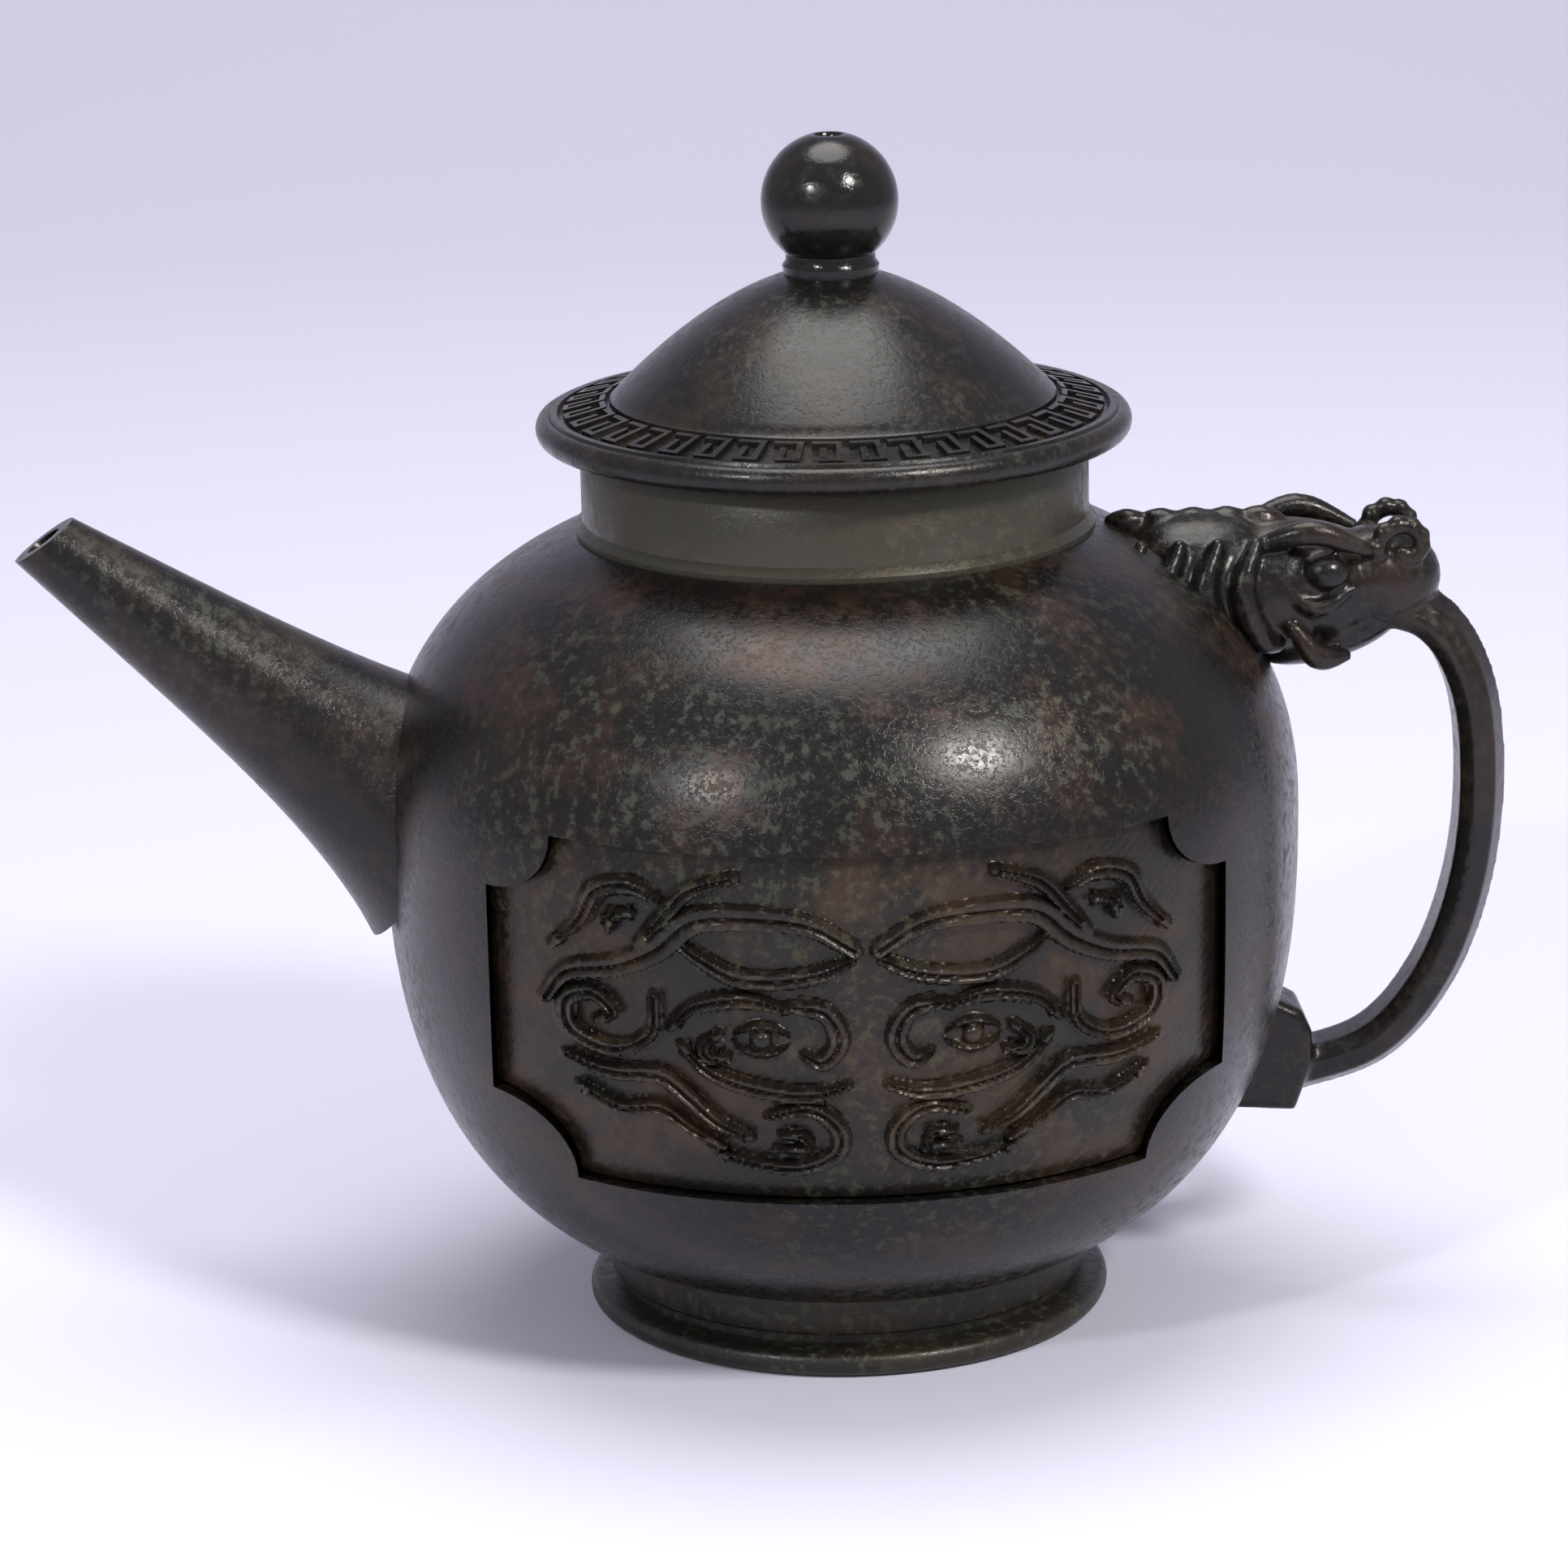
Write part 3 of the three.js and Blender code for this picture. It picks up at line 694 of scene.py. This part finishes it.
def handle_casting():
    mesh = head_form()
    hook_form(mesh)
    casting = piece_from(mesh, "handle_casting")
    fused = casting.modifiers.new("fused", "REMESH")
    fused.mode = "VOXEL"
    fused.voxel_size = 0.00028
    softened = casting.modifiers.new("softened", "SMOOTH")
    softened.factor = 0.5
    softened.iterations = 3
    settle(casting)
    side = side_line(body_low.z, body_high.z, 64, 0.0003)
    form = turned([(0, body_low.z), *side, (0, body_high.z)], closed=False)
    cut(casting, piece_from(form, "body_tool"))
    return casting


handle_bronze = bronze(
    "handle_bronze", (0.011, 0.0095, 0.009), (0.04, 0.022, 0.015), (0.042, 0.052, 0.034),
    0.5, 0.3, 0.25, 0.45, 0.22,
)
dressed(handle_casting(), handle_bronze, "handle", "vessel")

# Relief panels: thin cast plates that follow the body's curve, let into the two recesses. Each
# shows a pair of archaic dragons face to face, in rounded bands with cut lines along them.
relief_height = 0.00095
panel_border = 0.0009
plate_overhang = 0.0006
# Width of each band and the points that it runs through, in millimetres from the middle line
dragon_bands = [
    # horn and back, ending in the far scroll
    (2.3, [(0.9, 40.6), (4.4, 42.6), (9, 43.1), (13.2, 42.6), (15.9, 40.2), (19, 38.5),
           (22.8, 37.4), (24.6, 34.8)]),
    # lower edge of the horn leaf
    (1.7, [(1.2, 39.8), (3.8, 38.7), (7.4, 38.2), (10.2, 38.4), (12.6, 39.6), (14.6, 41)]),
    # brow
    (1.5, [(6.2, 35.9), (9.4, 36.6), (13.2, 35.8), (15, 33.8)]),
    # snout with its hooked nose
    (1.9, [(5.6, 36.2), (3.2, 35.6), (2.2, 33.4), (3.4, 31.6), (4.8, 32.2)]),
    # jaw
    (1.6, [(1.6, 29.6), (4.4, 28.8), (8.4, 29.2), (12, 30.4), (14.2, 32.6)]),
    # upper feather ribbon
    (1.5, [(9.8, 46.3), (13.4, 45), (15.4, 42.8), (17.4, 40.4)]),
    # leaf scroll above the back
    (1.6, [(15.9, 44.2), (18.2, 45), (20.6, 44.2), (21.8, 41.8), (24, 39.2)]),
    (1.1, [(17.6, 42.8), (19.2, 42.6), (19.6, 41)]),
    # haunch spiral
    (1.6, [(16.2, 36.4), (16.6, 33.2), (19.4, 31.6), (22.6, 32.6), (23, 35), (21, 36),
           (19.4, 34.6), (20.6, 33.8)]),
    # leg, claw and their second band
    (1.7, [(23, 30.4), (19.8, 29.6), (16, 29.8), (13.8, 28.2), (11.6, 26.2), (9, 25)]),
    (1.4, [(22.2, 28), (19, 26.6), (16, 27), (13.8, 25.6), (11, 24)]),
    # tail loop near the middle
    (1.7, [(7.6, 27), (4.6, 27.6), (2.4, 26), (2.4, 23.8), (5, 22.4), (8.4, 22.6), (11.4, 23.4)]),
    (1.1, [(6.8, 25.4), (5, 25.2), (4.8, 24.2), (7.2, 24.2)]),
    # curl behind the cheek
    (1.3, [(11.2, 33.8), (12.6, 32.6), (12, 31.6), (10.6, 32)]),
]
eye_place = (8.1, 33.4)
eye_half_length = 2.2
eye_half_height = 1.15


def band_height(x, z):
    """Height of the relief at points given in millimetres from the panel's middle line."""
    x = np.abs(x)
    height = np.zeros_like(x)
    for width, points in dragon_bands:
        bent = smooth_line([Vector((*point, 0)) for point in points], 6)
        line = np.array([point[:2] for point in bent])
        nearest = np.full(x.shape, 1e3)
        share = np.zeros_like(x)
        for i, (start, end) in enumerate(zip(line, line[1:])):
            run = end - start
            along = np.clip(((x - start[0]) * run[0] + (z - start[1]) * run[1]) / (run @ run), 0, 1)
            gap = np.hypot(x - start[0] - along * run[0], z - start[1] - along * run[1])
            closer = gap < nearest
            nearest = np.where(closer, gap, nearest)
            share = np.where(closer, (i + along) / (len(line) - 1), share)
        half = width / 2 * (0.5 + 0.5 * np.sin(np.pi * np.clip(share * 0.9 + 0.08, 0, 1)))
        edge = np.clip((half - nearest) / 0.3, 0, 1)
        band = edge * edge * (3 - 2 * edge)
        groove = 0.42 * np.exp(-((nearest / 0.16) ** 2)) * (half > 0.5)
        height = np.maximum(height, band * (1 - groove))
    return np.maximum(height, eye_height(x, z))


def eye_height(x, z):
    """The almond eye: a raised rim with a round ball inside."""
    across = np.abs(x - eye_place[0]) / eye_half_length
    lid_line = eye_half_height * np.sqrt(np.clip(1 - across ** 1.6, 0.001, 1))
    up = np.abs(z - eye_place[1]) / lid_line
    rim = np.exp(-(((up - 1) / 0.28) ** 2)) * (across < 1)
    from_middle = np.hypot(x - eye_place[0], z - eye_place[1])
    ball = np.clip(1 - (from_middle / 0.85) ** 2, 0, 1) ** 0.5
    return np.maximum(0.8 * rim, 0.95 * ball)


def relief_panel():
    """The plate as a bent grid, raised along the bands, backed and cut to the outline."""
    mesh = bmesh.new()
    bmesh.ops.create_grid(mesh, x_segments=330, y_segments=190, size=1)
    half_x = panel_half + plate_overhang
    low, high = panel_low.z - plate_overhang, panel_high.z + plate_overhang
    places = np.array([vert.co[:] for vert in mesh.verts])
    x = places[:, 0] * half_x
    z = (low + high) / 2 + places[:, 1] * (high - low) / 2
    ripple = 0.015 * np.sin(x * 9000) * np.sin(z * 7000 + x * 3000)
    height = band_height(x * 1000, z * 1000) + ripple
    inside_x = np.abs(x) < panel_half - panel_border
    inside_z = (z > panel_low.z + panel_border) & (z < panel_high.z - panel_border)
    height = np.where(inside_x & inside_z, height, 0)
    radius = side_radius(z) - panel_sink + relief_height * height
    y = -np.sqrt(radius ** 2 - x ** 2)
    for vert, place in zip(mesh.verts, zip(x + axis_x, y, z)):
        vert.co = place
    plate = piece_from(mesh, "relief_plate_front")
    if plate.data.polygons[0].normal.y > 0:
        plate.data.flip_normals()
    backed = plate.modifiers.new("backed", "SOLIDIFY")
    backed.thickness = panel_thickness
    backed.offset = -1
    settle(plate)
    cut(plate, cartouche_prism(0), "INTERSECT")
    return plate


relief_bronze = bronze(
    "relief_bronze", (0.017, 0.014, 0.011), (0.06, 0.034, 0.018), (0.07, 0.072, 0.042),
    0.7, 0.5, 0.29, 0.45, 0.25,
)
front_plate = relief_panel()
rear_plate = half_turned(front_plate, "relief_plate_rear")
dressed(front_plate, relief_bronze, "relief_panel_front", "vessel")
dressed(rear_plate, relief_bronze, "relief_panel_rear", "vessel")

# Lid: a cast dome with a rounded rim that overhangs the neck. A key fret runs round it on a
# sloping sunk band, and the middle is bored for the finial.
lid_low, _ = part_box("lid_dome")
rim_radius = 0.024
rim_height = 0.0025
rim_top = lid_low.z + rim_height
fret_outer = 0.0222
fret_inner = 0.018
fret_rise = 0.001
fret_depth = 0.00045
fret_units = 40
fret_line = 0.00042
dome_rise = 0.0104
dome_power = 1.77
dome_top = rim_top + fret_rise + dome_rise
lid_wall = 0.0018
lid_bore = 0.0029
flange_outer = mouth_radius - 0.0005
flange_inner = flange_outer - 0.0016


def dome_height(radius):
    return dome_top - dome_rise * (radius / fret_inner) ** dome_power


def fret_height(radius):
    """Height of the sloping band's own surface, before it is sunk."""
    return rim_top + fret_rise * (fret_outer - radius) / (fret_outer - fret_inner)


def dome_line(start, end, steps, drop):
    line = []
    for i in range(steps + 1):
        radius = start + (end - start) * i / steps
        line.append((radius, max(dome_height(radius) - drop, lid_low.z + 0.0008)))
    return line


def lid_casting():
    lip = [
        (
            rim_radius - 0.0009 + 0.0009 * math.sin(turn),
            lid_low.z + 0.0012 - 0.0011 * math.cos(turn),
        )
        for turn in (math.pi * i / 10 for i in range(11))
    ]
    return piece_from(turned([
        (flange_inner, lid_low.z), (rim_radius - 0.0013, lid_low.z), *lip,
        (rim_radius - 0.0011, rim_top - 0.00025), (fret_outer + 0.0006, rim_top),
        (fret_outer + 0.00005, rim_top), (fret_outer, rim_top - fret_depth),
        (fret_inner, rim_top + fret_rise - fret_depth), (fret_inner - 0.00005, rim_top + fret_rise),
        (fret_inner - 0.0003, rim_top + fret_rise + 0.00015),
        *dome_line(fret_inner - 0.0006, lid_bore, 36, 0),
        *dome_line(lid_bore, flange_inner, 24, lid_wall),
    ]), "lid_casting")


def key_fret():
    """Square hooks that turn in on themselves, one after another round the band."""
    mesh = bmesh.new()
    pitch = 2 * math.pi / fret_units
    band = fret_outer - fret_inner
    line = fret_line / band
    wide = line * 1.6
    hook = [
        (0.1, 0.1), (0.9, 0.1), (0.9, 0.9), (0.34, 0.9), (0.34, 0.36), (0.34 + wide, 0.36),
        (0.34 + wide, 0.9 - line), (0.9 - wide, 0.9 - line), (0.9 - wide, 0.1 + line),
        (0.1, 0.1 + line),
    ]
    for unit in range(fret_units):
        verts = []
        for across, out in hook:
            radius = fret_inner + out * band
            angle = (unit + across) * pitch
            x, y = axis_x + radius * math.cos(angle), radius * math.sin(angle)
            verts.append(mesh.verts.new((x, y, fret_height(radius))))
        face = mesh.faces.new(verts)
        pushed = bmesh.ops.extrude_face_region(mesh, geom=[face])
        moved = [item for item in pushed["geom"] if isinstance(item, bmesh.types.BMVert)]
        bmesh.ops.translate(mesh, verts=moved, vec=(0, 0, -fret_depth - 0.0001))
    bmesh.ops.triangulate(mesh, faces=mesh.faces)
    return piece_from(mesh, "key_fret")


lid_bronze = bronze(
    "lid_bronze", (0.014, 0.0125, 0.011), (0.042, 0.027, 0.019), (0.055, 0.062, 0.042),
    0.5, 0.35, 0.26, 0.45, 0.24,
)
dressed(lid_casting(), lid_bronze, "lid_dome", "lid")
dressed(key_fret(), lid_bronze, "lid_dome", "lid")

# Locating collar: a plain turned ring under the lid that drops into the neck and centres it.
collar_low, collar_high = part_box("lid_flange")
collar = piece_from(turned([
    (flange_inner, collar_low.z), (flange_outer - 0.0005, collar_low.z),
    (flange_outer, collar_low.z + 0.0005), (flange_outer, collar_high.z + seam),
    (flange_inner, collar_high.z + seam),
]), "locating_collar")
inner_bronze = bronze(
    "inner_bronze", (0.14, 0.1, 0.05), (0.08, 0.055, 0.03), (0.12, 0.14, 0.07),
    0.6, 0.3, 0.4, 0.6, 0.3,
)
dressed(collar, inner_bronze, "lid_flange", "lid")

# Finial: a polished ball on a short waist, bored from top to bottom. A finger over the hole
# holds the water back, and lifting it lets a drop fall.
finial_low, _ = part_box("finial")
ball_radius = 0.0055
waist_radius = 0.0036
air_hole = 0.001
tenon_radius = 0.0026
ball_height = dome_top + 0.0052
stem_foot = dome_height(lid_bore) + seam


def finial_profile():
    start = math.asin(waist_radius / ball_radius)
    end = math.asin((air_hole + 0.0005) / ball_radius)
    ball = []
    for i in range(41):
        turn = start + (math.pi - end - start) * i / 40
        ball.append((ball_radius * math.sin(turn), ball_height - ball_radius * math.cos(turn)))
    return [
        (air_hole, finial_low.z), (tenon_radius, finial_low.z), (tenon_radius, stem_foot - 0.0006),
        (waist_radius + 0.0002, stem_foot - 0.0006), (waist_radius + 0.0003, stem_foot + 0.0002),
        (waist_radius, stem_foot + 0.0006), *ball,
        (air_hole + 0.0002, ball[-1][1]), (air_hole, ball[-1][1] - 0.0003),
    ]


finial_bronze = bronze(
    "finial_bronze", (0.012, 0.011, 0.01), (0.03, 0.02, 0.014), (0.04, 0.05, 0.03),
    0.4, 0.15, 0.16, 0.4, 0.15,
)
finial = piece_from(turned(finial_profile(), 96), "finial_ball")
dressed(finial, finial_bronze, "finial", "lid")
